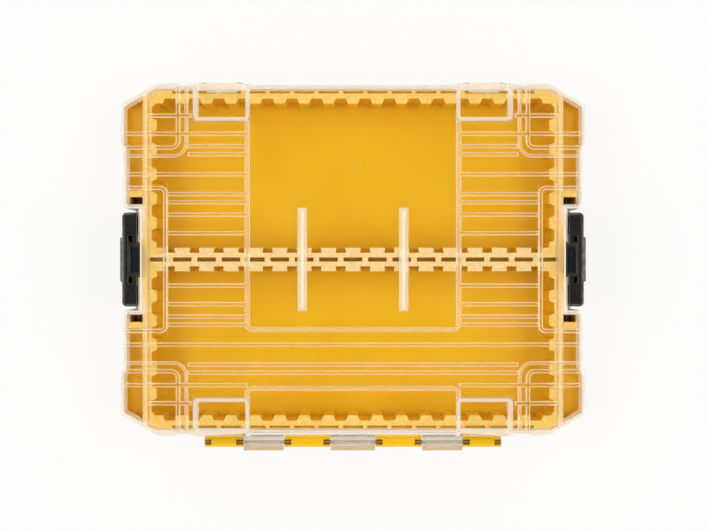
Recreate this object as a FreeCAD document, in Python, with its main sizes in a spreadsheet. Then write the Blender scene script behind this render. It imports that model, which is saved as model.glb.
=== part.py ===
import FreeCAD, Part
import os
import Sketcher

# A flat tool case: a yellow base with a centre wall and divider posts, a clear hinged lid,
# and a black latch on each side. +Z is up, +Y is the front, the hinge is at the back.
# The origin is the centre of the base's underside. Lengths are in millimetres.

SIZES = (
    # Whole case
    ("case_width", 263),
    ("case_depth", 200),
    ("base_height", 38),
    ("seam_gap", 0.3),
    ("corner_cut_along", 22.1),
    ("corner_cut_deep", 12.8),
    ("notch_half", 28.5),
    ("notch_deep", 12.9),
    ("cut_overrun", 2),
    ("root_overlap", 0.6),
    ("middle_overlap", 6),
    # Base shell
    ("floor_thick", 2.4),
    ("base_side_inset", 3.9),
    ("base_front_inset", 2.4),
    ("base_corner_inset", 1.1),
    ("end_wall", 4.8),
    ("long_wall", 6.6),
    ("inner_corner_cut", 5),
    ("center_wall", 7.8),
    ("bottom_chamfer", 1.5),
    ("post_pitch", 13.8),
    ("post_root", 8.7),
    ("post_tip", 5.7),
    ("post_reach", 2.9),
    ("dovetail_root", 7.9),
    ("dovetail_tip", 9),
    ("dovetail_reach", 2.8),
    ("center_slot_length", 10.4),
    ("center_slot_width", 2.2),
    ("center_slot_deep", 9),
    ("wall_slot_length", 11.2),
    ("wall_slot_width", 2),
    ("wall_slot_deep", 4),
    ("outer_skin", 1.6),
    ("corner_skin", 3.4),
    ("wing_end_wall", 2.8),
    ("pin_pocket", 4),
    ("wing_pocket_deep", 8),
    ("wing_web", 3.7),
    ("lug_start", 63),
    ("lug_length", 25),
    ("lug_reach", 2),
    ("lug_height", 16),
    ("guide_bottom", 22),
    ("guide_gap", 0.4),
    # Hinge
    ("hinge_setback", 5.6),
    ("web_root", 1.4),
    ("base_knuckle_radius", 2.8),
    ("lid_knuckle_radius", 4.9),
    ("knuckle_gap", 0.3),
    ("middle_lid_knuckle", 25),
    ("inner_base_knuckle", 26),
    ("outer_lid_knuckle", 22.6),
    ("outer_base_knuckle", 21.8),
    ("knuckle_window_length", 3.9),
    ("knuckle_window_width", 3.2),
    ("knuckle_groove_width", 2.6),
    ("knuckle_groove_deep", 1.2),
    ("knuckle_groove_margin", 2.4),
    ("hinge_pin_radius", 1.1),
    ("hinge_pin_fit", 0.03),
    ("hinge_run", 0.08),
    # Clear lid
    ("lid_height", 16.7),
    ("lid_draft", 6),
    ("lid_wall", 3.9),
    ("skirt_wall", 2),
    ("wing_wall", 2),
    ("roof_thick", 2.2),
    ("seat_wall", 2.4),
    ("seat_inset", 1.6),
    ("skirt_drop", 3.8),
    ("edge_step", 1),
    ("edge_slope", 2),
    ("corner_block_along", 32.4),
    ("corner_block_deep", 36.3),
    ("side_step", 1.5),
    ("window_block_start", 58.7),
    ("window_block_length", 30.8),
    ("corner_round", 4),
    ("wing_round", 3),
    ("roof_round", 1.4),
    ("lip_reach", 2.6),
    ("lip_thick", 2.8),
    ("rib_height", 1),
    ("rib_width", 2.3),
    ("rib_draft", 30),
    ("rib_end_inset", 3.4),
    ("rib_side_inset", 3.4),
    ("frame_width", 2.6),
    ("frame_corner", 3),
    ("inner_frame_corner", 5),
    ("outer_frame_corner", 8),
    ("field_corner", 4),
    ("panel_corner", 4.5),
    ("panel_half", 58.9),
    ("window_start", 59.8),
    ("window_length", 27.2),
    ("window_deep", 20.8),
    ("window_drop", 9),
    ("window_wall", 2),
    ("tab_start", 65.5),
    ("tab_length", 16.4),
    ("tab_deep", 6),
    ("tab_height", 4),
    ("latch_field_inset", 27.1),
    ("corner_frame_along", 35.3),
    ("corner_frame_deep", 39),
    ("outer_frame_gap", 4.3),
    ("outer_frame_width", 1.8),
    ("short_rib_start", 90),
    ("short_rib_length", 24.5),
    ("bar_place", 28.3),
    ("bar_width", 4.9),
    ("bar_half_length", 28.8),
    ("bar_clear", 3),
    ("bar_wall", 1.5),
    ("gate_radius", 1.5),
    ("gate_height", 0.4),
    # Latches and their pins
    ("latch_half", 26.5),
    ("latch_gap", 0.3),
    ("latch_thick", 8.4),
    ("latch_top", 45.5),
    ("latch_round", 1.8),
    ("latch_corner", 2.5),
    ("pivot_inset", 7.6),
    ("pivot_height", 12),
    ("barrel_radius", 4.2),
    ("paddle_half", 12.5),
    ("paddle_proud", 1.4),
    ("paddle_bottom", 17),
    ("paddle_slope", 2),
    ("hook_half", 8.6),
    ("hook_thick", 5.2),
    ("hook_gap", 0.5),
    ("hook_side_gap", 1.2),
    ("hook_reach", 2.1),
    ("hook_root", 4.9),
    ("hook_wall", 1.2),
    ("hook_core_deep", 3.6),
    ("slot_start", 9.9),
    ("slot_length", 3.4),
    ("slot_near", 1.8),
    ("slot_width", 2.9),
    ("mouth_head", 1.5),
    ("latch_skin", 2.2),
    ("core_bottom", 19),
    ("core_start", 14.5),
    ("core_length", 9.8),
    ("latch_pin_radius", 2.2),
    ("latch_pin_fit", 0.03),
    ("latch_run", 0.08),
    ("latch_pin_end_gap", 0.4),
)

# Rows of roof ribs, as shares of half the case's depth from its middle line
LATCH_ROW_SHARES = (0.146, 0.249, 0.318, 0.363)
LONG_ROW_SHARES = (0.474, 0.699)
MID_ROW_SHARES = (0.585, 0.63)
SHORT_ROW_SHARE = 0.8
CROSS_ROW_SHARES = (0.474, 0.585, 0.63)
LATCH_FIELD_SHARE = 0.398
FRONT_PANEL_SHARE = 0.404
REAR_PANEL_SHARE = 0.704
GATE_SHARE = 0.517
DIAGONAL_SHARE = 0.7071

TOUCHING = 1e-6
UPWARDS = FreeCAD.Vector(0, 0, 1)

ROOT_POINT = -1
ACROSS_AXIS = -1
UP_AXIS = -2

doc = FreeCAD.newDocument("tool_case")
sheet = doc.addObject("Spreadsheet::Sheet", "Sizes")
sheet.Label = "Sizes"


class Size:
    """A length of the sheet, or a sum of such lengths: its value and the expression that gives it."""

    def __init__(self, text, value):
        self.text = text
        self.value = value

    def __add__(self, other):
        other = as_size(other)
        return Size(f"({self.text} + {other.text})", self.value + other.value)

    def __sub__(self, other):
        other = as_size(other)
        return Size(f"({self.text} - {other.text})", self.value - other.value)

    def __mul__(self, share):
        share = as_size(share)
        return Size(f"({self.text} * {share.text})", self.value * share.value)

    def __truediv__(self, share):
        share = as_size(share)
        return Size(f"({self.text} / {share.text})", self.value / share.value)

    def __neg__(self):
        return Size(f"(0 - {self.text})", -self.value)


def as_size(item):
    """The item itself, or a plain number such as zero or a share as a Size."""
    return item if isinstance(item, Size) else Size(repr(item), item)


def fill_sheet():
    """Writes each size in a row of the sheet, and gives them by name."""
    sizes = {}
    for row, (name, value) in enumerate(SIZES, 1):
        sheet.set(f"A{row}", name)
        sheet.set(f"B{row}", str(value))
        sheet.setAlias(f"B{row}", name)
        sizes[name] = Size(f"Sizes.{name}", value)
    doc.recompute()
    return sizes


def new_body(label):
    body = doc.addObject("PartDesign::Body", label)
    body.Label = label
    return body


def origin_of(body, role):
    return next(item for item in body.Origin.OriginFeatures if item.Role == role)


def lock_point(sketch, edge, end, x, y):
    """Holds one end of an edge at x, y with constraints that read the sheet."""
    for kind, axis, item in (("DistanceX", UP_AXIS, x), ("DistanceY", ACROSS_AXIS, y)):
        size = as_size(item)
        if size.value == 0:
            sketch.addConstraint(Sketcher.Constraint("PointOnObject", edge, end, axis))
            continue
        ends = (ROOT_POINT, 1, edge, end)
        if size.value < 0:
            ends = (edge, end, ROOT_POINT, 1)
            size = -size
        number = sketch.addConstraint(Sketcher.Constraint(kind, *ends, size.value))
        sketch.setExpression(f"Constraints[{number}]", size.text)


def lock_radius(sketch, edge, radius):
    """Holds the radius of a circle or an arc."""
    number = sketch.addConstraint(Sketcher.Constraint("Radius", edge, radius.value))
    sketch.setExpression(f"Constraints[{number}]", radius.text)


def place_of(x, y):
    return FreeCAD.Vector(as_size(x).value, as_size(y).value, 0)


def step_towards(start, end):
    """One step along the axis on which end lies from start."""
    away = place_of(*end[:2]) - place_of(*start[:2])
    return (away.x > TOUCHING) - (away.x < -TOUCHING), (away.y > TOUCHING) - (away.y < -TOUCHING)


def edge_starts(corners):
    """The start of each edge of an outline, and for an edge that rounds a corner its radius and corner."""
    starts = []
    for index, corner in enumerate(corners):
        x, y, *radius = corner
        if not radius:
            starts.append((x, y, None))
            continue
        back_x, back_y = step_towards(corner, corners[index - 1])
        on_x, on_y = step_towards(corner, corners[(index + 1) % len(corners)])
        radius = radius[0]
        starts.append((x + radius * back_x, y + radius * back_y, (radius, place_of(x, y))))
        starts.append((x + radius * on_x, y + radius * on_y, None))
    return starts


def add_arc(sketch, start, end, radius, corner):
    """A quarter round from start to end in place of a square corner: its edge, and its ends in that order."""
    middle = start + end - corner
    circle = Part.Circle(middle, UPWARDS, radius.value)
    turns_left = (start - middle).cross(end - middle).z > 0
    first, last = (start, end) if turns_left else (end, start)
    arc = Part.ArcOfCircle(circle, circle.parameter(first), circle.parameter(last))
    edge = sketch.addGeometry(arc, False)
    return (edge, 1, 2) if turns_left else (edge, 2, 1)


def add_loop(sketch, corners):
    """A closed outline of straight edges. A square corner that comes with a radius is rounded."""
    starts = edge_starts(corners)
    edges = []
    for (x, y, turn), (end_x, end_y, _) in zip(starts, starts[1:] + starts[:1]):
        start = place_of(x, y)
        end = place_of(end_x, end_y)
        if turn:
            edges.append(add_arc(sketch, start, end, *turn))
        else:
            edges.append((sketch.addGeometry(Part.LineSegment(start, end), False), 1, 2))
    for (edge, _, end), (following, start, _) in zip(edges, edges[1:] + edges[:1]):
        sketch.addConstraint(Sketcher.Constraint("Coincident", edge, end, following, start))
    for (edge, start, _), (x, y, turn) in zip(edges, starts):
        lock_point(sketch, edge, start, x, y)
        if turn:
            lock_radius(sketch, edge, turn[0])


def add_circle(sketch, x, y, radius):
    edge = sketch.addGeometry(Part.Circle(place_of(x, y), UPWARDS, radius.value), False)
    lock_point(sketch, edge, 3, x, y)
    lock_radius(sketch, edge, radius)


def draw(body, name, role, level, loops=(), circles=()):
    """A sketch on one of the body's origin planes, raised by level along the plane's normal."""
    sketch = body.newObject("Sketcher::SketchObject", f"{name}_sketch")
    sketch.AttachmentSupport = [(origin_of(body, role), "")]
    sketch.MapMode = "FlatFace"
    sketch.setExpression("AttachmentOffset.Base.z", as_size(level).text)
    for points in loops:
        add_loop(sketch, points)
    for circle in circles:
        add_circle(sketch, *circle)
    return sketch


def feature_of(body, kind, name, sketch, length, back=False, both_ways=False, draft=None):
    """A Pad or Pocket of a sketch. back turns it against its usual direction."""
    feature = body.newObject(f"PartDesign::{kind}", name)
    feature.Profile = sketch
    feature.setExpression("Length", length.text)
    feature.Reversed = back
    feature.Refine = False
    if both_ways:
        feature.SideType = "Symmetric"
    if draft is not None:
        feature.setExpression("TaperAngle", (-draft).text)
    body.Tip = feature
    return feature


def pad_up(body, name, bottom, height, loops=(), circles=(), draft=None):
    """Outlines in plan, raised from bottom by height."""
    sketch = draw(body, name, "XY_Plane", bottom, loops, circles)
    return feature_of(body, "Pad", name, sketch, height, draft=draft)


def cut_down(body, name, top, deep, loops):
    """Outlines in plan, cut from top downwards."""
    sketch = draw(body, name, "XY_Plane", top, loops)
    return feature_of(body, "Pocket", name, sketch, deep)


def cut_up(body, name, bottom, height, loops):
    """Outlines in plan, cut from bottom upwards."""
    sketch = draw(body, name, "XY_Plane", bottom, loops)
    return feature_of(body, "Pocket", name, sketch, height, back=True)


def pad_across(body, name, start, end, loops=(), circles=()):
    """Outlines seen from the side, raised along X from start to end."""
    sketch = draw(body, name, "YZ_Plane", start, loops, circles)
    return feature_of(body, "Pad", name, sketch, end - start)


def pad_along(body, name, length, loops=(), circles=()):
    """Outlines seen from the front, raised along Y to both sides of the middle."""
    sketch = draw(body, name, "XZ_Plane", 0, loops, circles)
    return feature_of(body, "Pad", name, sketch, length, both_ways=True)


def bore(body, name, role, length, x, y, radius):
    """A round hole through the middle of the body, along the plane's normal."""
    sketch = draw(body, name, role, 0, circles=[(x, y, radius)])
    return feature_of(body, "Pocket", name, sketch, length, both_ways=True)


def repeat(body, feature, role, pitch, count):
    """A row of equal features along an origin axis."""
    pattern = body.newObject("PartDesign::LinearPattern", f"{feature.Name}_row")
    pattern.Originals = [feature]
    pattern.Direction = (origin_of(body, role), [""])
    pattern.Mode = "Spacing"
    pattern.Refine = False
    pattern.setExpression("Offset", pitch.text)
    pattern.setExpression("Occurrences", count.text)
    body.Tip = pattern


def whole_count(length, pitch):
    """How many places a pitch apart fit from zero to length."""
    return Size(f"(floor({length.text} / {pitch.text}) + 1)", int(length.value // pitch.value) + 1)


def mirror_sideways(body):
    """Joins the body so far with its mirror image at -X."""
    doc.recompute()
    mirrored = body.newObject("PartDesign::Mirrored", f"{body.Label}_whole")
    mirrored.MirrorPlane = (origin_of(body, "YZ_Plane"), [""])
    mirrored.TransformMode = "Whole shape"
    body.Tip = mirrored


def mirror_copy(source, label):
    """A piece of its own that is the mirror image of source at the other side."""
    copy = doc.addObject("Part::Mirroring", label)
    copy.Label = label
    copy.Source = source
    copy.Normal = FreeCAD.Vector(1, 0, 0)
    return copy


def dress(body, kind, name, wanted, size, setting):
    """A Fillet or Chamfer on the edges of the body so far that wanted picks."""
    doc.recompute()
    base = body.Tip
    edges = [f"Edge{number}" for number, edge in enumerate(base.Shape.Edges, 1) if wanted(edge)]
    feature = body.newObject(f"PartDesign::{kind}", name)
    feature.Base = (base, edges)
    feature.Refine = False
    feature.setExpression(setting, size.text)
    body.Tip = feature


def near(a, b):
    return abs(a - b) < TOUCHING


def lies_at(**places):
    """Picks the edges whose ends all have these values along the named axes."""

    def wanted(edge):
        points = [vertex.Point for vertex in edge.Vertexes]
        return all(near(getattr(point, axis), places[axis].value) for point in points for axis in places)

    return wanted


def outer_edges(level):
    """Picks the edges of a half that lie at this level, but not the one on the middle plane."""
    flat = lies_at(z=as_size(level))
    in_middle = lies_at(x=as_size(0))

    def wanted(edge):
        return flat(edge) and not in_middle(edge)

    return wanted


def rises_from(points, level):
    """Picks the edges that leave the plan level at one of these points and go up."""

    def wanted(edge):
        ends = sorted((vertex.Point for vertex in edge.Vertexes), key=lambda point: point.z)
        foot = ends[0]
        if not near(foot.z, level.value) or near(ends[-1].z, level.value):
            return False
        return any(near(foot.x, x.value) and near(foot.y, y.value) for x, y in points)

    return wanted


def flipped(points):
    """The same points on the other side of the case's middle line."""
    return [(x, -y, *radius) for x, y, *radius in points]


def front_and_back(points):
    """One closed loop from a run of points at the front and the same run at the back."""
    return list(points) + flipped(points)[::-1]


def both_ends(*loops):
    """Each loop at the front, and again at the back."""
    return [points for loop in loops for points in (loop, flipped(loop))]


def box_points(left, right, front, back):
    return ((left, front), (right, front), (right, back), (left, back))


size = fill_sheet()
half_width = size["case_width"] / 2
half_depth = size["case_depth"] / 2
rim = size["base_height"]
over = size["cut_overrun"]
past_middle = -size["middle_overlap"]
corner_slope = size["corner_cut_deep"] / size["corner_cut_along"]

# Places that the base, the lid and the latches share
base_side = half_width - size["base_side_inset"]
base_wide = base_side + size["side_step"]
base_front = half_depth - size["base_front_inset"]
step_wide = half_depth - size["corner_block_deep"]
step_narrow = step_wide - size["edge_slope"]
notch_wall = half_width - size["notch_deep"]
end_face = notch_wall - size["end_wall"]
wall_face = base_front - size["long_wall"]
center_face = size["center_wall"] / 2
hinge_y = -base_front - size["hinge_setback"]
lid_bottom = rim + size["seam_gap"]
lid_field = lid_bottom + size["lid_height"]
lid_top = lid_field + size["rib_height"]
roof_under = lid_field - size["roof_thick"]
lid_side = half_width - size["side_step"]
lid_front = half_depth - size["edge_step"]
pivot_x = half_width - size["pivot_inset"]
latch_inside = notch_wall + size["lip_reach"] + size["latch_gap"]
slot_inside = latch_inside + size["slot_near"]
slot_outside = slot_inside + size["slot_width"]
slot_end = size["slot_start"] + size["slot_length"]

# Ends of the hinge knuckles along X, from the middle outwards
lid_knuckle_1 = size["middle_lid_knuckle"] / 2
base_knuckle_1 = lid_knuckle_1 + size["knuckle_gap"] + size["inner_base_knuckle"]
lid_knuckle_2 = base_knuckle_1 + size["knuckle_gap"] + size["outer_lid_knuckle"]
base_knuckle_2 = lid_knuckle_2 + size["knuckle_gap"] + size["outer_base_knuckle"]


def trim_middle(body, name):
    """Cuts off what runs past the middle plane, so that the halves meet face to face."""
    beyond = box_points(past_middle - over, 0, -size["case_depth"], size["case_depth"])
    cut_down(body, name, lid_top + over, lid_top + over + over, [beyond])


def post_points(root_half, tip_half, root, tip):
    """A post in plan that stands on a wall along X at root and points to tip."""
    return ((-root_half, root), (root_half, root), (tip_half, tip), (-tip_half, tip))


def add_base_knuckles(body):
    """Knuckles on gussets behind the rear wall, with the hinge bore and a window at each end."""
    radius = size["base_knuckle_radius"]
    slant = radius * DIAGONAL_SHARE
    wall_y = -base_front + size["root_overlap"]
    gusset_drop = slant + slant + size["hinge_setback"] + size["root_overlap"]
    gusset = ((wall_y, rim), (hinge_y, rim), (hinge_y - slant, rim - slant), (wall_y, rim - gusset_drop))
    spans = (
        (lid_knuckle_1 + size["knuckle_gap"], base_knuckle_1),
        (lid_knuckle_2 + size["knuckle_gap"], base_knuckle_2),
    )
    window = size["knuckle_window_length"]
    window_back = hinge_y - size["knuckle_window_width"] / 2
    window_front = hinge_y + size["knuckle_window_width"] / 2
    windows = []
    for number, (start, end) in enumerate(spans, 1):
        pad_across(body, f"base_knuckle_{number}_arm", start, end, [gusset])
        pad_across(body, f"base_knuckle_{number}", start, end, circles=[(hinge_y, rim, radius)])
        windows.append(box_points(start, start + window, window_back, window_front))
        windows.append(box_points(end - window, end, window_back, window_front))
    cut_up(body, "knuckle_windows", rim, radius + over, windows)
    hole = size["hinge_pin_radius"] + size["hinge_pin_fit"]
    bore(body, "hinge_bore", "YZ_Plane", (base_knuckle_2 + over) * 2, hinge_y, rim, hole)


def add_base_posts(body):
    """Divider posts along the long walls, the centre wall and the end wall."""
    pitch = size["post_pitch"]
    half_root = size["post_root"] / 2
    half_tip = size["post_tip"] / 2
    count = whole_count(end_face, pitch)
    tip = wall_face - size["post_reach"]
    post = post_points(half_root, half_tip, wall_face + size["root_overlap"], tip)
    wall_post = pad_up(body, "wall_post", 0, rim, both_ends(post))
    repeat(body, wall_post, "X_Axis", pitch, count)
    tip = center_face + size["dovetail_reach"]
    rooted = center_face - size["root_overlap"]
    post = post_points(size["dovetail_root"] / 2, size["dovetail_tip"] / 2, rooted, tip)
    center_post = pad_up(body, "center_post", 0, rim, both_ends(post))
    repeat(body, center_post, "X_Axis", pitch, count)
    straight = wall_face - size["inner_corner_cut"] - half_root - pitch / 2
    end_count = whole_count(straight, pitch)
    first = pitch / 2 - pitch * end_count
    tip = end_face - size["post_reach"]
    post = post_points(half_root, half_tip, end_face + size["root_overlap"], tip)
    end_post = pad_up(body, "end_post", 0, rim, [[(x, y + first) for y, x in post]])
    repeat(body, end_post, "Y_Axis", pitch, end_count * 2)


def add_base_slots(body):
    """Slots in the top of the centre wall, and of the long walls behind the posts."""
    pitch = size["post_pitch"]
    half_slot = size["center_slot_length"] / 2
    half_gap = size["center_slot_width"] / 2
    slot = box_points(-half_slot, half_slot, -half_gap, half_gap)
    center_slot = cut_down(body, "center_slot", rim, size["center_slot_deep"], [slot])
    repeat(body, center_slot, "X_Axis", pitch, whole_count(end_face, pitch))
    outside = base_front - size["outer_skin"]
    half_slot = size["wall_slot_length"] / 2
    slot = box_points(-half_slot, half_slot, outside - size["wall_slot_width"], outside)
    wall_slot = cut_down(body, "wall_slot", rim, size["wall_slot_deep"], both_ends(slot))
    straight = base_side - size["corner_cut_along"] - half_slot
    repeat(body, wall_slot, "X_Axis", pitch, whole_count(straight, pitch))


def make_base():
    body = new_body("base_shell")
    corner_y = half_depth - size["corner_cut_deep"] - size["base_corner_inset"]

    def corner_at(x):
        return corner_y + (half_width - x) * corner_slope

    outline = front_and_back((
        (0, base_front),
        (half_width - (base_front - corner_y) / corner_slope, base_front),
        (base_wide, corner_at(base_wide)),
        (base_wide, step_wide),
        (base_side, step_narrow),
        (base_side, size["notch_half"]),
        (notch_wall, size["notch_half"]),
    ))
    pad_up(body, "base_block", 0, rim, [outline])
    dress(body, "Chamfer", "bottom_edges", outer_edges(0), size["bottom_chamfer"], "Size")
    add_base_knuckles(body)
    lug_end = size["lug_start"] + size["lug_length"]
    lug_root = base_front - size["root_overlap"]
    lug = box_points(size["lug_start"], lug_end, lug_root, base_front + size["lug_reach"])
    pad_up(body, "lugs", rim - size["lug_height"], size["lug_height"], both_ends(lug))
    gap = size["guide_gap"]
    guide_root = notch_wall - size["root_overlap"]
    guide = box_points(guide_root, slot_outside - gap, size["slot_start"] + gap, slot_end - gap)
    guide_bottom = size["guide_bottom"]
    pad_up(body, "latch_guides", guide_bottom, rim - guide_bottom, both_ends(guide))

    # Hollows: the compartments, and in each side wing a deep pin pocket and a long shallow pocket
    depth_inside = rim - size["floor_thick"]
    compartment = (
        (past_middle, center_face),
        (end_face, center_face),
        (end_face, wall_face - size["inner_corner_cut"]),
        (end_face - size["inner_corner_cut"], wall_face),
        (past_middle, wall_face),
    )
    skin_x = base_side - size["outer_skin"]
    wide_skin_x = base_wide - size["outer_skin"]
    pin_pocket_start = size["notch_half"] + size["wing_end_wall"]
    pin_pocket_end = pin_pocket_start + size["pin_pocket"]
    long_start = pin_pocket_end + size["wing_web"]
    pin_pocket = box_points(notch_wall, skin_x, pin_pocket_start, pin_pocket_end)
    long_pocket = (
        (notch_wall, long_start),
        (skin_x, long_start),
        (skin_x, step_narrow),
        (wide_skin_x, step_wide),
        (wide_skin_x, corner_at(wide_skin_x) - size["corner_skin"]),
        (notch_wall, corner_at(notch_wall) - size["corner_skin"]),
    )
    cut_down(body, "hollows", rim, depth_inside, both_ends(compartment, pin_pocket))
    cut_down(body, "wing_pockets", rim, size["wing_pocket_deep"], both_ends(long_pocket))
    hole = size["latch_pin_radius"] + size["latch_pin_fit"]
    bore(body, "latch_bore", "XZ_Plane", pin_pocket_end * 2, pivot_x, size["pivot_height"], hole)
    add_base_posts(body)
    add_base_slots(body)
    trim_middle(body, "base_middle")
    mirror_sideways(body)
    return body


def lid_outline():
    """The half lid's outer edge in plan, without the latch notch."""
    window_end = size["window_block_start"] + size["window_block_length"]
    block_x = half_width - size["corner_block_along"]
    slope = size["edge_slope"]
    return front_and_back((
        (past_middle, lid_front),
        (size["window_block_start"] - slope, lid_front),
        (size["window_block_start"], half_depth),
        (window_end, half_depth),
        (window_end + slope, lid_front),
        (block_x - slope, lid_front),
        (block_x, half_depth),
        (half_width - size["corner_cut_along"], half_depth),
        (half_width, half_depth - size["corner_cut_deep"]),
        (half_width, step_wide),
        (lid_side, step_narrow),
    ))


def add_lid_block(body):
    """The solid block with sloping sides, its latch notch and its rounded edges."""
    pad_up(body, "lid_block", lid_bottom, size["lid_height"], [lid_outline()], draft=size["lid_draft"])
    trim_middle(body, "lid_block_middle")
    notch = box_points(notch_wall, half_width + over, -size["notch_half"], size["notch_half"])
    cut_down(body, "latch_notch", lid_field, size["lid_height"], [notch])
    corners = [
        (half_width - size["corner_cut_along"], half_depth),
        (half_width, half_depth - size["corner_cut_deep"]),
    ]
    corners = corners + flipped(corners)
    dress(body, "Fillet", "corner_rounds", rises_from(corners, lid_bottom), size["corner_round"], "Radius")
    wing = [(lid_side, size["notch_half"])]
    wing = wing + flipped(wing)
    dress(body, "Fillet", "wing_rounds", rises_from(wing, lid_bottom), size["wing_round"], "Radius")
    dress(body, "Fillet", "roof_edge", outer_edges(lid_field), size["roof_round"], "Radius")


def add_lid_hollows(body):
    """The hollow over the compartments, those in the wings, the skirts, and a lip beside each hook."""
    wall = size["lid_wall"]
    seat_outside = notch_wall - size["seat_inset"]
    seat_inside = seat_outside - size["seat_wall"]
    inside_front = lid_front - wall
    corner_y = half_depth - size["corner_cut_deep"] - size["corner_skin"] - size["edge_step"]

    def corner_at(x):
        return corner_y + (half_width - x) * corner_slope

    front_x = seat_inside - (inside_front - corner_at(seat_inside)) / corner_slope
    hollow = front_and_back((
        (past_middle, inside_front),
        (front_x, inside_front),
        (seat_inside, corner_at(seat_inside)),
    ))
    wing_start = size["notch_half"] + size["wing_wall"]
    wing = (
        (seat_outside, wing_start),
        (lid_side - wall, wing_start),
        (lid_side - wall, step_narrow),
        (half_width - wall, step_wide),
        (half_width - wall, corner_at(half_width - wall)),
        (seat_outside, corner_at(seat_outside)),
    )
    loops = [hollow] + both_ends(wing)
    cut_up(body, "lid_hollows", lid_bottom, roof_under - lid_bottom, loops)
    wall = size["skirt_wall"]
    skirt_start = size["notch_half"] + size["wing_round"]
    skirt_end = half_depth - size["corner_cut_deep"] - size["corner_round"]
    skirt = (
        (lid_side - wall, skirt_start),
        (lid_side, skirt_start),
        (lid_side, step_narrow),
        (half_width, step_wide),
        (half_width, skirt_end),
        (half_width - wall, skirt_end),
        (half_width - wall, step_wide),
        (lid_side - wall, step_narrow),
    )
    skirt_bottom = lid_bottom - size["skirt_drop"]
    pad_up(body, "skirts", skirt_bottom, size["skirt_drop"], both_ends(skirt))
    lip_root = notch_wall - size["root_overlap"]
    lip_start = size["hook_half"] + size["hook_side_gap"]
    lip = box_points(lip_root, notch_wall + size["lip_reach"], lip_start, wing_start)
    pad_up(body, "lips", lid_bottom, size["lip_thick"], both_ends(lip))


def add_lid_windows(body):
    """Deep steps in the roof at the front and the back, each with a frame, and the front stop tabs."""
    start = size["window_start"]
    end = start + size["window_length"]
    inner_y = half_depth - size["window_deep"]
    window_floor = lid_field - size["window_drop"]
    skin = size["window_wall"]
    corner = size["frame_corner"]
    frame_y = lid_front - size["rib_end_inset"]
    box = box_points(start - skin, end + skin, inner_y - skin, half_depth - size["lid_wall"])
    box_height = roof_under - window_floor + skin + size["root_overlap"]
    pad_up(body, "window_boxes", window_floor - skin, box_height, both_ends(box))
    frame = (
        (start - skin, frame_y),
        (start - skin, inner_y - skin, corner),
        (end + skin, inner_y - skin, corner),
        (end + skin, frame_y),
    )
    draft = size["rib_draft"]
    pad_up(body, "window_frames", lid_field, size["rib_height"], both_ends(frame), draft=draft)
    recess = (
        (start, half_depth + over),
        (start, inner_y, corner - skin),
        (end, inner_y, corner - skin),
        (end, half_depth + over),
    )
    cut_depth = lid_top + over - window_floor
    cut_down(body, "window_recesses", lid_top + over, cut_depth, both_ends(recess))
    tab_end = size["tab_start"] + size["tab_length"]
    tab = box_points(size["tab_start"], tab_end, half_depth - size["tab_deep"], lid_front)
    pad_up(body, "front_tabs", window_floor, size["tab_height"], [tab])


def corner_rib(x, y, end_x, end_y, width, corner):
    """A rounded L in plan: its outer edges lie on x and y, and its legs run to end_x and end_y."""
    across = 1 if end_x.value > x.value else -1
    along = 1 if end_y.value > y.value else -1
    inner_x = x + width * across
    inner_y = y + width * along
    return (
        (x, end_y),
        (x, y, corner),
        (end_x, y),
        (end_x, inner_y),
        (inner_x, inner_y, corner - width),
        (inner_x, end_y),
    )


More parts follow.
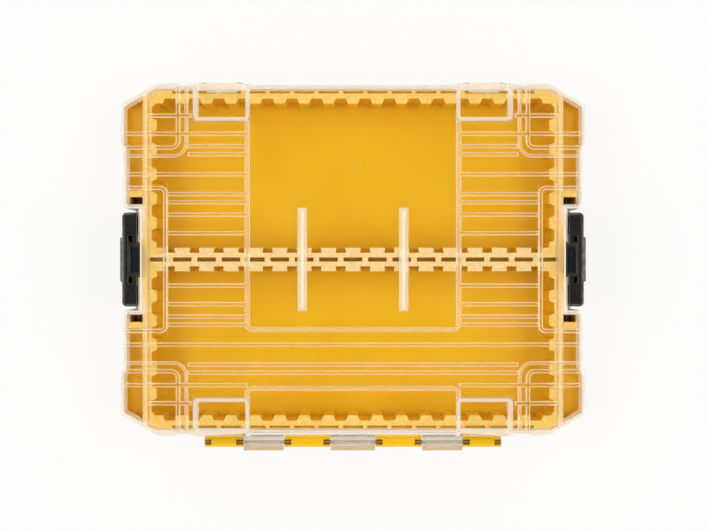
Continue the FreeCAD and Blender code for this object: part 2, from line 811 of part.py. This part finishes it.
def add_lid_ribs(body):
    """Rows of ribs, frames round the latch field and the corners, and the middle panels."""
    height = size["rib_height"]
    draft = size["rib_draft"]
    half_rib = size["rib_width"] / 2
    latch_field = half_width - size["latch_field_inset"]
    corner_x = half_width - size["corner_frame_along"]
    corner_frame_y = half_depth - size["corner_frame_deep"]
    outer_x = corner_x - size["outer_frame_gap"]
    outer_y = corner_frame_y - size["outer_frame_gap"]
    rib_end = lid_side - size["rib_side_inset"]
    front_end = lid_front - size["rib_end_inset"]
    panel = size["panel_half"]
    short_end = size["short_rib_start"] + size["short_rib_length"]
    rows = [(share, panel, latch_field - half_rib) for share in LATCH_ROW_SHARES]
    rows += [(share, panel, rib_end) for share in LONG_ROW_SHARES]
    rows += [(share, panel, outer_x) for share in MID_ROW_SHARES]
    rows += [(SHORT_ROW_SHARE, size["short_rib_start"], short_end)]
    loops = []
    for share, start, end in rows:
        middle = half_depth * share
        loops += both_ends(box_points(start, end, middle - half_rib, middle + half_rib))
    pad_up(body, "rib_rows", lid_field, height, loops, draft=draft)
    field_y = half_depth * LATCH_FIELD_SHARE
    field_corner = size["field_corner"]
    field_frame = front_and_back((
        (latch_field - half_rib, field_y + half_rib, field_corner),
        (rib_end, field_y + half_rib),
        (rib_end, field_y - half_rib),
        (latch_field + half_rib, field_y - half_rib, field_corner - size["rib_width"]),
    ))
    pad_up(body, "latch_field_frame", lid_field, height, [field_frame], draft=draft)
    corner = size["inner_frame_corner"]
    inner_frame = corner_rib(corner_x, corner_frame_y, rib_end, front_end, size["rib_width"], corner)
    corner = size["outer_frame_corner"]
    outer_frame = corner_rib(outer_x, outer_y, rib_end, front_end, size["outer_frame_width"], corner)
    loops = both_ends(inner_frame, outer_frame)
    pad_up(body, "corner_frames", lid_field, height, loops, draft=draft)

    # Plain panels in the middle of the roof, and the ribs that cross between them
    panel_edge = panel + size["frame_width"] / 2
    leg_end = half_depth - size["window_deep"] - size["window_wall"] + size["root_overlap"]
    front_y = -half_depth * FRONT_PANEL_SHARE
    rear_y = -half_depth * REAR_PANEL_SHARE
    corner = size["panel_corner"]
    front_panel = corner_rib(panel_edge, front_y, past_middle, leg_end, size["frame_width"], corner)
    rear_panel = corner_rib(panel_edge, rear_y, past_middle, -leg_end, size["frame_width"], corner)
    pad_up(body, "panel_frames", lid_field, height, [front_panel, rear_panel], draft=draft)
    loops = []
    for share in CROSS_ROW_SHARES:
        middle = -half_depth * share
        loops.append(box_points(past_middle, panel_edge, middle - half_rib, middle + half_rib))
    pad_up(body, "cross_ribs", lid_field, height, loops, draft=draft)
    gate = (0, half_depth * GATE_SHARE, size["gate_radius"])
    pad_up(body, "gate_mark", lid_field, size["gate_height"], circles=[gate])


def add_lid_bar(body):
    """A hollow bar that hangs over the centre wall."""
    bottom = rim + size["bar_clear"]
    place = size["bar_place"]
    half_bar = size["bar_width"] / 2
    half_hollow = half_bar - size["bar_wall"]
    half_length = size["bar_half_length"]
    hollow_end = half_length - size["bar_wall"]
    bar = box_points(place - half_bar, place + half_bar, -half_length, half_length)
    hollow = box_points(place - half_hollow, place + half_hollow, -hollow_end, hollow_end)
    pad_up(body, "bar", bottom, roof_under - bottom + size["root_overlap"], [bar])
    cut_down(body, "bar_hollow", lid_top, lid_top - bottom - size["bar_wall"], [hollow])


def add_lid_knuckles(body):
    """Knuckles on webs behind the rear wall, each grooved along the top, and the hinge bore."""
    radius = size["lid_knuckle_radius"]
    web_y = -lid_front + size["web_root"]
    web_bottom = lid_bottom + size["seam_gap"]
    web_top = rim + radius
    web = ((web_y, web_bottom), (hinge_y, web_bottom), (hinge_y, web_top), (web_y, web_top))
    margin = size["knuckle_groove_margin"]
    groove_y = hinge_y + size["knuckle_groove_width"]
    spans = (
        (past_middle, lid_knuckle_1, past_middle),
        (base_knuckle_1 + size["knuckle_gap"], lid_knuckle_2, base_knuckle_1 + size["knuckle_gap"] + margin),
    )
    grooves = []
    for number, (start, end, groove_start) in enumerate(spans, 1):
        pad_across(body, f"lid_knuckle_{number}_web", start, end, [web])
        pad_across(body, f"lid_knuckle_{number}", start, end, circles=[(hinge_y, rim, radius)])
        grooves.append(box_points(groove_start, end - margin, hinge_y, groove_y))
    cut_down(body, "knuckle_grooves", rim + radius, size["knuckle_groove_deep"], grooves)
    hole = size["hinge_pin_radius"] + size["hinge_run"]
    bore(body, "lid_hinge_bore", "YZ_Plane", (lid_knuckle_2 + over) * 2, hinge_y, rim, hole)


def make_lid():
    body = new_body("clear_lid")
    add_lid_block(body)
    add_lid_hollows(body)
    add_lid_knuckles(body)
    add_lid_windows(body)
    add_lid_bar(body)
    add_lid_ribs(body)
    trim_middle(body, "lid_middle")
    mirror_sideways(body)
    return body


def make_hinge_pin():
    """One rod through all seven knuckles."""
    body = new_body("hinge_pin")
    rod = (hinge_y, rim, size["hinge_pin_radius"])
    sketch = draw(body, "hinge_rod", "YZ_Plane", 0, circles=[rod])
    feature_of(body, "Pad", "hinge_rod", sketch, base_knuckle_2 * 2, both_ways=True)
    return body


def make_latch():
    """The right latch, with its slots, barrel, paddle, hook and cored inside."""
    body = new_body("right_latch")
    inside = latch_inside
    outside = inside + size["latch_thick"]
    pivot_z = size["pivot_height"]
    top = size["latch_top"]
    half = size["latch_half"]
    pad_along(body, "plate", half * 2, [box_points(inside, outside, pivot_z, top)])
    dress(body, "Fillet", "plate_round", lies_at(x=outside, z=top), size["latch_round"], "Radius")
    ends = [(outside, half), (outside, -half)]
    dress(body, "Fillet", "plate_ends", rises_from(ends, pivot_z), size["latch_corner"], "Radius")

    # Slots down to the barrel beside the hook, open at the back for the base's guides
    slot = box_points(slot_inside, slot_outside, size["slot_start"], slot_end)
    cut_down(body, "side_slots", top + over, top + over, both_ends(slot))
    mouth = box_points(size["slot_start"], slot_end, size["core_bottom"], rim + size["mouth_head"])
    other_mouth = [(-y, z) for y, z in mouth]
    sketch = draw(body, "slot_mouths", "YZ_Plane", inside, [mouth, other_mouth])
    feature_of(body, "Pocket", "slot_mouths", sketch, size["slot_near"] + size["root_overlap"], back=True)
    pad_along(body, "barrel", half * 2, circles=[(pivot_x, pivot_z, size["barrel_radius"])])

    # Paddle that stands proud in the middle, with sloped ends
    proud = outside + size["paddle_proud"]
    rooted = outside - size["root_overlap"]
    bottom = size["paddle_bottom"]
    paddle_top = top - size["latch_round"]
    paddle = (
        (rooted, bottom),
        (outside, bottom),
        (proud, bottom + size["paddle_slope"]),
        (proud, paddle_top - size["paddle_slope"]),
        (outside, paddle_top),
        (rooted, paddle_top),
    )
    pad_along(body, "paddle", size["paddle_half"] * 2, [paddle])

    # Hook between the lid's lips, cored from above, and the cored back of each arm
    hook_bottom = lid_bottom + size["lip_thick"] + size["hook_gap"]
    hook_top = hook_bottom + size["hook_thick"]
    hook_tip = inside - size["latch_gap"] - size["hook_reach"]
    hook_back = inside + size["hook_root"]
    half_hook = size["hook_half"]
    wall = size["hook_wall"]
    pad_along(body, "hook", half_hook * 2, [box_points(hook_tip, hook_back, hook_bottom, hook_top)])
    core = box_points(hook_tip + wall, hook_back - wall, -half_hook + wall, half_hook - wall)
    cut_down(body, "hook_core", hook_top, size["hook_core_deep"], [core])
    core_end = size["core_start"] + size["core_length"]
    core = box_points(size["core_start"], core_end, size["core_bottom"], top - size["latch_skin"])
    other_core = [(-y, z) for y, z in core]
    sketch = draw(body, "arm_cores", "YZ_Plane", inside, [core, other_core])
    feature_of(body, "Pocket", "arm_cores", sketch, size["latch_thick"] - size["latch_skin"], back=True)
    hole = size["latch_pin_radius"] + size["latch_run"]
    bore(body, "pivot_bore", "XZ_Plane", (half + over) * 2, pivot_x, pivot_z, hole)
    return body


def make_latch_pin():
    """The right pivot rod, from wing to wing through the latch's barrel."""
    body = new_body("right_latch_pin")
    pocket_end = size["notch_half"] + size["wing_end_wall"] + size["pin_pocket"]
    length = (pocket_end - size["latch_pin_end_gap"]) * 2
    pad_along(body, "latch_rod", length, circles=[(pivot_x, size["pivot_height"], size["latch_pin_radius"])])
    return body


def check_document(pieces):
    """Stops if anything in the document failed, or a piece isn't one valid solid."""
    for item in doc.Objects:
        if "Invalid" in item.State or "Error" in item.State:
            raise RuntimeError(f"{item.Name} failed: {item.getStatusString()}")
    for piece in pieces:
        shape = piece.Shape
        if shape.isNull() or not shape.isValid() or len(shape.Solids) != 1:
            raise RuntimeError(f"{piece.Label} isn't one valid solid")


def main():
    right_latch = make_latch()
    right_latch_pin = make_latch_pin()
    pieces = [
        make_base(),
        make_lid(),
        make_hinge_pin(),
        right_latch,
        right_latch_pin,
        mirror_copy(right_latch, "left_latch"),
        mirror_copy(right_latch_pin, "left_latch_pin"),
    ]
    doc.recompute()
    check_document(pieces)
    os.makedirs("parts", exist_ok=True)
    for piece in pieces:
        piece.Shape.exportStep(f"parts/{piece.Label}.step")


main()
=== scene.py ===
import math

import bmesh
import bpy
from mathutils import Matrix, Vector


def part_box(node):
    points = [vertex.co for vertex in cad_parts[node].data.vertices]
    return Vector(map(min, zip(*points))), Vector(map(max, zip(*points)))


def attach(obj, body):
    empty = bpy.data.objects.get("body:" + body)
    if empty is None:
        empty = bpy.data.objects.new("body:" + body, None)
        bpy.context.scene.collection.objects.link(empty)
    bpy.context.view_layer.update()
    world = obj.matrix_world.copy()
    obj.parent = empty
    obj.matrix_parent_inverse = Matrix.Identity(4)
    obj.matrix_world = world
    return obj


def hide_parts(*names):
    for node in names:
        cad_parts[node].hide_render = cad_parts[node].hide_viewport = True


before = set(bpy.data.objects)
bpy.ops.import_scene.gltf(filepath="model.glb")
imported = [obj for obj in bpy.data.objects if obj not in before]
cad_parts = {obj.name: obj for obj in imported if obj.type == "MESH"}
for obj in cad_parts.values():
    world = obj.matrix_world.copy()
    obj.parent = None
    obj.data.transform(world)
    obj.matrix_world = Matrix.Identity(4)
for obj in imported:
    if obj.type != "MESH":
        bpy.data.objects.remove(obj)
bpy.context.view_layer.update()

# A flat tool case with a clear lid, seen straight from above, as in the photograph.
# Lengths are in metres unless a comment says millimetres, in the frame of the solids:
# +Z is up and the hinge is at -Y.

MM = 0.001

# How the copies of the solids are merged, rounded and shaded
JOINED = 0.002 * MM
SLIVER_AREA = 0.01 * MM * MM
FACET_WIDTH = 1.2 * MM
EDGE_ROUND = 0.25 * MM
LATCH_EDGE_ROUND = 0.5 * MM
FLAT_ANGLE = math.radians(0.5)
CREASE_ANGLE = math.radians(20)
SHARP_ANGLE = math.radians(35)

# The upright share of a face's normal: above the first it is level, between the two a rounded upper edge
LEVEL_SHARE = 0.9
EDGE_SHARE = 0.3

# Finishes, in the order of each piece's materials
# Every finish after the plain one is a painted highlight: paler level tops on the base, brighter upper edges
# on the latches
PLAIN, PAINTED_HIGHLIGHT, PALER_HIGHLIGHT = range(3)
CLEAR, HAZY, FROSTED, THICK, VEILED, RIB_HIGHLIGHT = range(6)

# Heights and places of the solids that a finish depends on
RIM = 38 * MM
RIM_SLACK = 0.2 * MM
REAR_WALL = 99 * MM
CENTRE_WALL = 7 * MM
END_WALL = 110 * MM
ROOF = 54.9 * MM

# Where the lid's level faces are hazy too, in millimetres along X to either side, along Y and up
HAZY_PLACES = {
    "lip beside the hook": ((118.7, 122), (-31, 31), (38, 41.2)),
    "foot of the walls": ((0, 132), (-99, 101), (30, 38.7)),
}

# The bars and the window frames, less hazy, in the same terms
FROSTED_PLACES = {
    "hanging bar": ((25.8, 30.8), (-28.9, 28.9), (40, 52)),
    "front window's frame": ((57.7, 89.1), (77.1, 96), (55.5, 56.5)),
    "rear window's frame": ((57.7, 89.1), (-96, -77.1), (55.5, 56.5)),
}

# The walls beside the wings and the frames of the roof's plain panels, with a veil of haze tinted cream as a
# painted reflection of the yellow base, likewise
VEILED_PLACES = {
    "wall beside the wings": ((114.3, 118.65), (-91, 91), (38, 53.5)),
    "side of the front panel": ((57.5, 60.3), (-41, 77.5), (55.5, 56.5)),
    "end of the front panel": ((0, 60.3), (-41, -37.5), (55.5, 56.5)),
    "side of the rear panel": ((57.5, 60.3), (-77.5, -70), (55.5, 56.5)),
    "end of the rear panel": ((0, 60.3), (-73.1, -70), (55.5, 56.5)),
}

# Sizes of the patterns, the mottle of the painted highlights among them. The grains, haze and rod marks are
# finer on the real case, and are drawn as coarse as they need to show.
YELLOW_CLOUD = 45 * MM
YELLOW_GRAIN = 0.7 * MM
YELLOW_HIGHLIGHT_MOTTLE = 1.6 * MM
CLEAR_WAVE = 18 * MM
MOULD_HAZE = 2.5 * MM
NYLON_GRAIN = 0.5 * MM
NYLON_CLOUD = 9 * MM
NYLON_HIGHLIGHT_MOTTLE = 4 * MM
ROD_MARK = 1.5 * MM
GRAIN_DEPTH = 0.1 * MM

# How far apart a pattern's two colours lie in its noise
WIDE_SPREAD = (0.3, 0.7)
NARROW_SPREAD = (0.35, 0.65)

POLYPROPYLENE_IOR = 1.49
POLYCARBONATE_IOR = 1.58
NYLON_IOR = 1.53
SATIN_SPECULAR = 0.35

# The studio
FLOOR_SIZE = 8
FLOOR_GLOW_SHARE = 0.85
SKY_STRENGTH = 1.3
SKY_STOPS = (0.4, 0.9)
SKY_GREYS = (1, 0.03)
LAMP_SIDE = 0.55
LAMP_HEIGHT = 1.05
LAMP_LENGTH = 0.9
LAMP_WIDTH = 0.35
LAMP_POWER = 3.4
CAMERA_PLACE = (0.3 * MM, -3.1 * MM, 1056 * MM)

# The camera's focal length and sensor, in millimetres
FOCAL_LENGTH = 91.6
SENSOR_WIDTH = 36


def linear(hex_colour):
    """An sRGB hex value as linear red, green, blue and alpha."""
    parts = [int(hex_colour[i:i + 2], 16) / 255 for i in (1, 3, 5)]
    return [c / 12.92 if c <= 0.04045 else ((c + 0.055) / 1.055) ** 2.4 for c in parts] + [1]


def add_node(tree, kind, settings=None, links=None, **sockets):
    """A shader node with its settings, its socket values and the sockets that feed it."""
    node = tree.nodes.new(kind)
    for name, value in (settings or {}).items():
        setattr(node, name, value)
    for name, value in sockets.items():
        node.inputs[name.replace("_", " ")].default_value = value
    for name, source in (links or {}).items():
        tree.links.new(source, node.inputs[name])
    return node


def new_material(name):
    """An empty material, with its tree and its output node."""
    material = bpy.data.materials.new(name)
    material.use_nodes = True
    tree = material.node_tree
    tree.nodes.clear()
    return material, tree, add_node(tree, "ShaderNodeOutputMaterial")


def mottled(tree, size, spread, dull, bright):
    """A colour that drifts between two, over patches of a size, and the noise that drives it."""
    place = add_node(tree, "ShaderNodeTexCoord").outputs["Object"]
    noise = add_node(tree, "ShaderNodeTexNoise", links={"Vector": place}, Scale=1 / size, Detail=3)
    colour = add_node(tree, "ShaderNodeValToRGB", links={"Fac": noise.outputs["Fac"]})
    for stop, position, hex_colour in zip(colour.color_ramp.elements, spread, (dull, bright)):
        stop.position = position
        stop.color = linear(hex_colour)
    return colour.outputs["Color"], noise.outputs["Fac"]


def let_lamps_through(tree, shader, output, tint):
    """Puts a clear plastic on its output, with the lamps' light going straight on to what lies under it."""
    light = add_node(tree, "ShaderNodeLightPath")
    through = add_node(tree, "ShaderNodeBsdfTransparent", Color=linear(tint))
    mix = add_node(
        tree, "ShaderNodeMixShader",
        links={"Fac": light.outputs["Is Shadow Ray"], 1: shader.outputs["BSDF"], 2: through.outputs["BSDF"]},
    )
    tree.links.new(mix.outputs["Shader"], output.inputs["Surface"])


def yellow_polypropylene():
    """Moulded polypropylene: satin, with a fine eroded grain and slightly cloudy colour."""
    material, tree, output = new_material("yellow_polypropylene")
    colour, cloud = mottled(tree, YELLOW_CLOUD, WIDE_SPREAD, "#F4BF09", "#FAC80F")
    place = add_node(tree, "ShaderNodeTexCoord").outputs["Object"]
    grain = add_node(tree, "ShaderNodeTexNoise", links={"Vector": place}, Scale=1 / YELLOW_GRAIN, Detail=2)
    bump = add_node(
        tree, "ShaderNodeBump", links={"Height": grain.outputs["Fac"]},
        Strength=0.06, Distance=GRAIN_DEPTH,
    )
    gloss = add_node(tree, "ShaderNodeMapRange", links={"Value": cloud}, To_Min=0.2, To_Max=0.3)
    shader = add_node(
        tree, "ShaderNodeBsdfPrincipled",
        links={"Base Color": colour, "Roughness": gloss.outputs["Result"], "Normal": bump.outputs["Normal"]},
        IOR=POLYPROPYLENE_IOR, Specular_IOR_Level=SATIN_SPECULAR,
    )
    tree.links.new(shader.outputs["BSDF"], output.inputs["Surface"])
    return material


def painted_highlight_polypropylene(name, dull, bright):
    """The same plastic with a painted highlight: paler, mottled and dull, for the level tops that the light
    falls on.
    """
    material, tree, output = new_material(name)
    colour, highlight_mottle = mottled(tree, YELLOW_HIGHLIGHT_MOTTLE, NARROW_SPREAD, dull, bright)
    bump = add_node(tree, "ShaderNodeBump", links={"Height": highlight_mottle}, Strength=0.15, Distance=GRAIN_DEPTH)
    shader = add_node(
        tree, "ShaderNodeBsdfPrincipled", links={"Base Color": colour, "Normal": bump.outputs["Normal"]},
        Roughness=0.6, IOR=POLYPROPYLENE_IOR,
    )
    tree.links.new(shader.outputs["BSDF"], output.inputs["Surface"])
    return material


def clear_polycarbonate():
    """Polished clear polycarbonate: it refracts, with a gloss that wavers slightly."""
    material, tree, output = new_material("clear_polycarbonate")
    place = add_node(tree, "ShaderNodeTexCoord").outputs["Object"]
    wave = add_node(tree, "ShaderNodeTexNoise", links={"Vector": place}, Scale=1 / CLEAR_WAVE, Detail=2)
    gloss = add_node(
        tree, "ShaderNodeMapRange", links={"Value": wave.outputs["Fac"]}, To_Min=0.01, To_Max=0.05,
    )
    shader = add_node(
        tree, "ShaderNodeBsdfPrincipled", links={"Roughness": gloss.outputs["Result"]},
        Base_Color=linear("#FDFCF9"), IOR=POLYCARBONATE_IOR, Transmission_Weight=1,
    )
    let_lamps_through(tree, shader, output, "#F4F4F2")
    return material


def hazy_polycarbonate(name, dull, bright, clearness, roughness):
    """Clear polycarbonate with fine marks of its mould: pale, and less is seen through it. A cream colour
    given to it is a painted reflection of the yellow base under the lid.
    """
    material, tree, output = new_material(name)
    colour, _ = mottled(tree, MOULD_HAZE, WIDE_SPREAD, dull, bright)
    shader = add_node(
        tree, "ShaderNodeBsdfPrincipled", links={"Base Color": colour},
        Roughness=roughness, IOR=POLYCARBONATE_IOR, Transmission_Weight=clearness,
    )
    let_lamps_through(tree, shader, output, "#FDFCFA")
    return material


def black_nylon():
    """Glass-filled nylon from an eroded mould: near black, with a soft sheen."""
    material, tree, output = new_material("black_nylon")
    place = add_node(tree, "ShaderNodeTexCoord").outputs["Object"]
    grain = add_node(tree, "ShaderNodeTexNoise", links={"Vector": place}, Scale=1 / NYLON_GRAIN, Detail=2)
    bump = add_node(
        tree, "ShaderNodeBump", links={"Height": grain.outputs["Fac"]},
        Strength=0.06, Distance=GRAIN_DEPTH,
    )
    cloud = add_node(tree, "ShaderNodeTexNoise", links={"Vector": place}, Scale=1 / NYLON_CLOUD, Detail=2)
    gloss = add_node(
        tree, "ShaderNodeMapRange", links={"Value": cloud.outputs["Fac"]}, To_Min=0.2, To_Max=0.3,
    )
    shader = add_node(
        tree, "ShaderNodeBsdfPrincipled",
        links={"Roughness": gloss.outputs["Result"], "Normal": bump.outputs["Normal"]},
        Base_Color=linear("#12100E"), IOR=NYLON_IOR, Specular_IOR_Level=SATIN_SPECULAR,
    )
    tree.links.new(shader.outputs["BSDF"], output.inputs["Surface"])
    return material


def painted_highlight_nylon():
    """The same nylon with a painted highlight on its rounded upper edges: greyer, as a brighter line of
    light.
    """
    material, tree, output = new_material("painted_highlight_nylon")
    # The lighter greys are a painted highlight on the latch's edges
    colour, _ = mottled(tree, NYLON_HIGHLIGHT_MOTTLE, NARROW_SPREAD, "#2A2826", "#6E6B66")
    shader = add_node(
        tree, "ShaderNodeBsdfPrincipled", links={"Base Color": colour}, Roughness=0.3, IOR=NYLON_IOR,
    )
    tree.links.new(shader.outputs["BSDF"], output.inputs["Surface"])
    return material


def steel_with_painted_reflection():
    """Drawn steel rod, its warm colour a painted reflection of the yellow base around it: a warm grey metal
    with an uneven, dull gloss.
    """
    material, tree, output = new_material("steel_with_painted_reflection")
    place = add_node(tree, "ShaderNodeTexCoord").outputs["Object"]
    marks = add_node(tree, "ShaderNodeTexNoise", links={"Vector": place}, Scale=1 / ROD_MARK, Detail=3)
    gloss = add_node(
        tree, "ShaderNodeMapRange", links={"Value": marks.outputs["Fac"]}, To_Min=0.3, To_Max=0.45,
    )
    # The warm base colour is a painted reflection of the yellow base
    shader = add_node(
        tree, "ShaderNodeBsdfPrincipled", links={"Roughness": gloss.outputs["Result"]},
        Base_Color=linear("#B8A17E"), Metallic=1,
    )
    tree.links.new(shader.outputs["BSDF"], output.inputs["Surface"])
    return material


def shade_rounds(shape):
    """Shades the narrow facets of round surfaces smooth, and leaves each plane flat."""
    for face in shape.faces:
        face.tag = False
        face.smooth = False
    for first in shape.faces:
        if first.tag:
            continue
        first.tag = True
        plane = [first]
        area = 0
        outline = 0
        is_round = False
        # The list grows while it is read, until it holds the whole plane
        for face in plane:
            area += face.calc_area()
            for edge in face.edges:
                turn = edge.calc_face_angle(math.pi)
                if turn > FLAT_ANGLE:
                    outline += edge.calc_length()
                    is_round = is_round or turn < CREASE_ANGLE
                    continue
                fresh = [other for other in edge.link_faces if not other.tag]
                for other in fresh:
                    other.tag = True
                plane += fresh
        if is_round and 2 * area < FACET_WIDTH * outline:
            for face in plane:
                face.smooth = True


def moulded(node, body, name, rounding, materials, finish_at):
    """A copy of a solid with its sharp edges rounded a little, as its mould leaves them."""
    low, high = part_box(node)
    shape = bmesh.new()
    shape.from_mesh(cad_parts[node].data)
    bmesh.ops.remove_doubles(shape, verts=shape.verts, dist=JOINED)
    shade_rounds(shape)
    sharp = [
        edge for edge in shape.edges
        if edge.calc_face_angle(0) > SHARP_ANGLE
        and min(face.calc_area() for face in edge.link_faces) > SLIVER_AREA
    ]
    rounded = bmesh.ops.bevel(
        shape, geom=sharp, offset=rounding, offset_type="OFFSET", affect="EDGES",
        segments=2, profile=0.5, material=-1, clamp_overlap=False, loop_slide=False,
    )
    for face in rounded["faces"]:
        face.smooth = False
    # No round stands out past the solid's own box
    for vert in shape.verts:
        vert.co = [min(max(c, least), most) for c, least, most in zip(vert.co, low, high)]
    shape.normal_update()
    for edge in shape.edges:
        edge.smooth = edge.calc_face_angle(0) < CREASE_ANGLE
    for face in shape.faces:
        face.material_index = finish_at(face)
    mesh = bpy.data.meshes.new(name)
    shape.to_mesh(mesh)
    shape.free()
    for material in materials:
        mesh.materials.append(material)
    piece = bpy.data.objects.new(name, mesh)
    bpy.context.scene.collection.objects.link(piece)
    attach(piece, body)
    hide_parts(node)


def base_finish(face):
    """A painted highlight on the level tops at the rim, under the lid and dividers, and a paler painted
    highlight on the centre wall's top.
    """
    place = face.calc_center_median()
    if face.normal.z < LEVEL_SHARE or place.z < RIM - RIM_SLACK or place.y < -REAR_WALL:
        return PLAIN
    return PALER_HIGHLIGHT if abs(place.y) < CENTRE_WALL and abs(place.x) < END_WALL else PAINTED_HIGHLIGHT


def is_within(place, box):
    """Whether a place in millimetres lies in a box that counts X to either side."""
    spot = (abs(place.x), place.y, place.z)
    return all(low < at < high for at, (low, high) in zip(spot, box))


def lid_finish(face):
    """Thick in the knuckles, clear on level faces, hazy on walls, with painted highlights on the ribs'
    sides, and as the lists of places say.
    """
    place = face.calc_center_median()
    if place.y < -REAR_WALL:
        return THICK
    for finish, places in ((FROSTED, FROSTED_PLACES), (VEILED, VEILED_PLACES), (HAZY, HAZY_PLACES)):
        if any(is_within(place / MM, box) for box in places.values()):
            return finish
    if abs(face.normal.z) > LEVEL_SHARE:
        return CLEAR
    # Steep faces above the roof are the ribs' sides: painted highlights, tinted cream as a painted
    # reflection of the yellow base
    return RIB_HIGHLIGHT if place.z > ROOF else HAZY


def latch_finish(face):
    """A painted highlight on the rounded upper edges."""
    return PAINTED_HIGHLIGHT if EDGE_SHARE < face.normal.z < LEVEL_SHARE else PLAIN


def finish_node(node, material):
    """Gives a solid that stays as it is its finish."""
    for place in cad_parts[node].material_slots:
        place.material = material


def add_floor():
    """A plain white floor that keeps the case's soft shadow."""
    bpy.ops.mesh.primitive_plane_add(size=FLOOR_SIZE, location=(0, 0, 0))
    floor = bpy.context.object
    floor.name = "floor"
    material, tree, output = new_material("white_paper")
    light = add_node(tree, "ShaderNodeLightPath")
    seen = add_node(
        tree, "ShaderNodeMath", {"operation": "MAXIMUM"},
        {0: light.outputs["Is Camera Ray"], 1: light.outputs["Is Glossy Ray"]},
    )
    seen = add_node(
        tree, "ShaderNodeMath", {"operation": "MAXIMUM"},
        {0: seen.outputs[0], 1: light.outputs["Is Transmission Ray"]},
    )
    share = add_node(tree, "ShaderNodeMath", {"operation": "MULTIPLY"}, {0: seen.outputs[0]})
    share.inputs[1].default_value = FLOOR_GLOW_SHARE
    paper = add_node(tree, "ShaderNodeBsdfDiffuse", Color=linear("#F4F4F4"))
    glow = add_node(tree, "ShaderNodeEmission", Color=linear("#FFFFFF"), Strength=1)
    mix = add_node(
        tree, "ShaderNodeMixShader",
        links={"Fac": share.outputs[0], 1: paper.outputs["BSDF"], 2: glow.outputs["Emission"]},
    )
    tree.links.new(mix.outputs["Shader"], output.inputs["Surface"])
    floor.data.materials.append(material)


def add_world():
    """A studio that is bright all round and dimmer straight overhead, where the camera is."""
    world = bpy.data.worlds.new("studio")
    bpy.context.scene.world = world
    world.use_nodes = True
    tree = world.node_tree
    tree.nodes.clear()
    place = add_node(tree, "ShaderNodeTexCoord").outputs["Generated"]
    split = add_node(tree, "ShaderNodeSeparateXYZ", links={"Vector": place})
    ramp = add_node(tree, "ShaderNodeValToRGB", links={"Fac": split.outputs["Z"]})
    for stop, position, grey in zip(ramp.color_ramp.elements, SKY_STOPS, SKY_GREYS):
        stop.position = position
        stop.color = (grey, grey, grey, 1)
    sky = add_node(
        tree, "ShaderNodeBackground", links={"Color": ramp.outputs["Color"]}, Strength=SKY_STRENGTH,
    )
    output = add_node(tree, "ShaderNodeOutputWorld")
    tree.links.new(sky.outputs["Background"], output.inputs["Surface"])


def add_lamp(name, place):
    """A long soft box that faces the middle of the case."""
    lamp = bpy.data.lights.new(name, "AREA")
    lamp.shape = "RECTANGLE"
    lamp.size = LAMP_LENGTH
    lamp.size_y = LAMP_WIDTH
    lamp.energy = LAMP_POWER
    box = bpy.data.objects.new(name, lamp)
    bpy.context.scene.collection.objects.link(box)
    box.location = place
    box.rotation_euler = box.location.to_track_quat("Z", "Y").to_euler()


def add_camera():
    """Looks straight down from about a metre above the lid."""
    lens = bpy.data.cameras.new("camera")
    lens.lens = FOCAL_LENGTH
    lens.sensor_width = SENSOR_WIDTH
    camera = bpy.data.objects.new("camera", lens)
    bpy.context.scene.collection.objects.link(camera)
    camera.location = CAMERA_PLACE
    bpy.context.scene.camera = camera


yellow = [
    yellow_polypropylene(),
    # Painted highlights on the base's level tops, palest on the centre wall's top
    painted_highlight_polypropylene("painted_highlight_polypropylene", "#F8CA5A", "#FDDC80"),
    painted_highlight_polypropylene("paler_highlight_polypropylene", "#F7D28C", "#FCE0A8"),
]
clear = [
    clear_polycarbonate(),
    hazy_polycarbonate("drawn_polycarbonate", "#FFFAF0", "#FFFFFF", clearness=0.25, roughness=0.35),
    hazy_polycarbonate("frosted_polycarbonate", "#FFF8E8", "#FFFEF8", clearness=0.5, roughness=0.3),
    hazy_polycarbonate("thick_polycarbonate", "#DDD4C6", "#ECE6DC", clearness=0.8, roughness=0.08),
    # The cream of the veiled and rib finishes is a painted reflection of the yellow base, and the pale rib
    # sides are painted highlights
    hazy_polycarbonate("veiled_polycarbonate", "#FFEDC4", "#FFF6DC", clearness=0.75, roughness=0.25),
    hazy_polycarbonate("rib_highlight_polycarbonate", "#FFE8B4", "#FFF2CE", clearness=0.4, roughness=0.3),
]
black = [black_nylon(), painted_highlight_nylon()]
steel = steel_with_painted_reflection()

moulded("base_shell", "base", "base_moulding", EDGE_ROUND, yellow, base_finish)
moulded("clear_lid", "lid", "lid_moulding", EDGE_ROUND, clear, lid_finish)
for latch in ("left_latch", "right_latch"):
    moulded(latch, latch, latch + "_moulding", LATCH_EDGE_ROUND, black, latch_finish)
for rod in ("hinge_pin", "left_latch_pin", "right_latch_pin"):
    finish_node(rod, steel)

add_floor()
add_world()
add_lamp("left_box", (-LAMP_SIDE, 0, LAMP_HEIGHT))
add_lamp("right_box", (LAMP_SIDE, 0, LAMP_HEIGHT))
add_camera()
bpy.context.scene.view_settings.view_transform = "Standard"
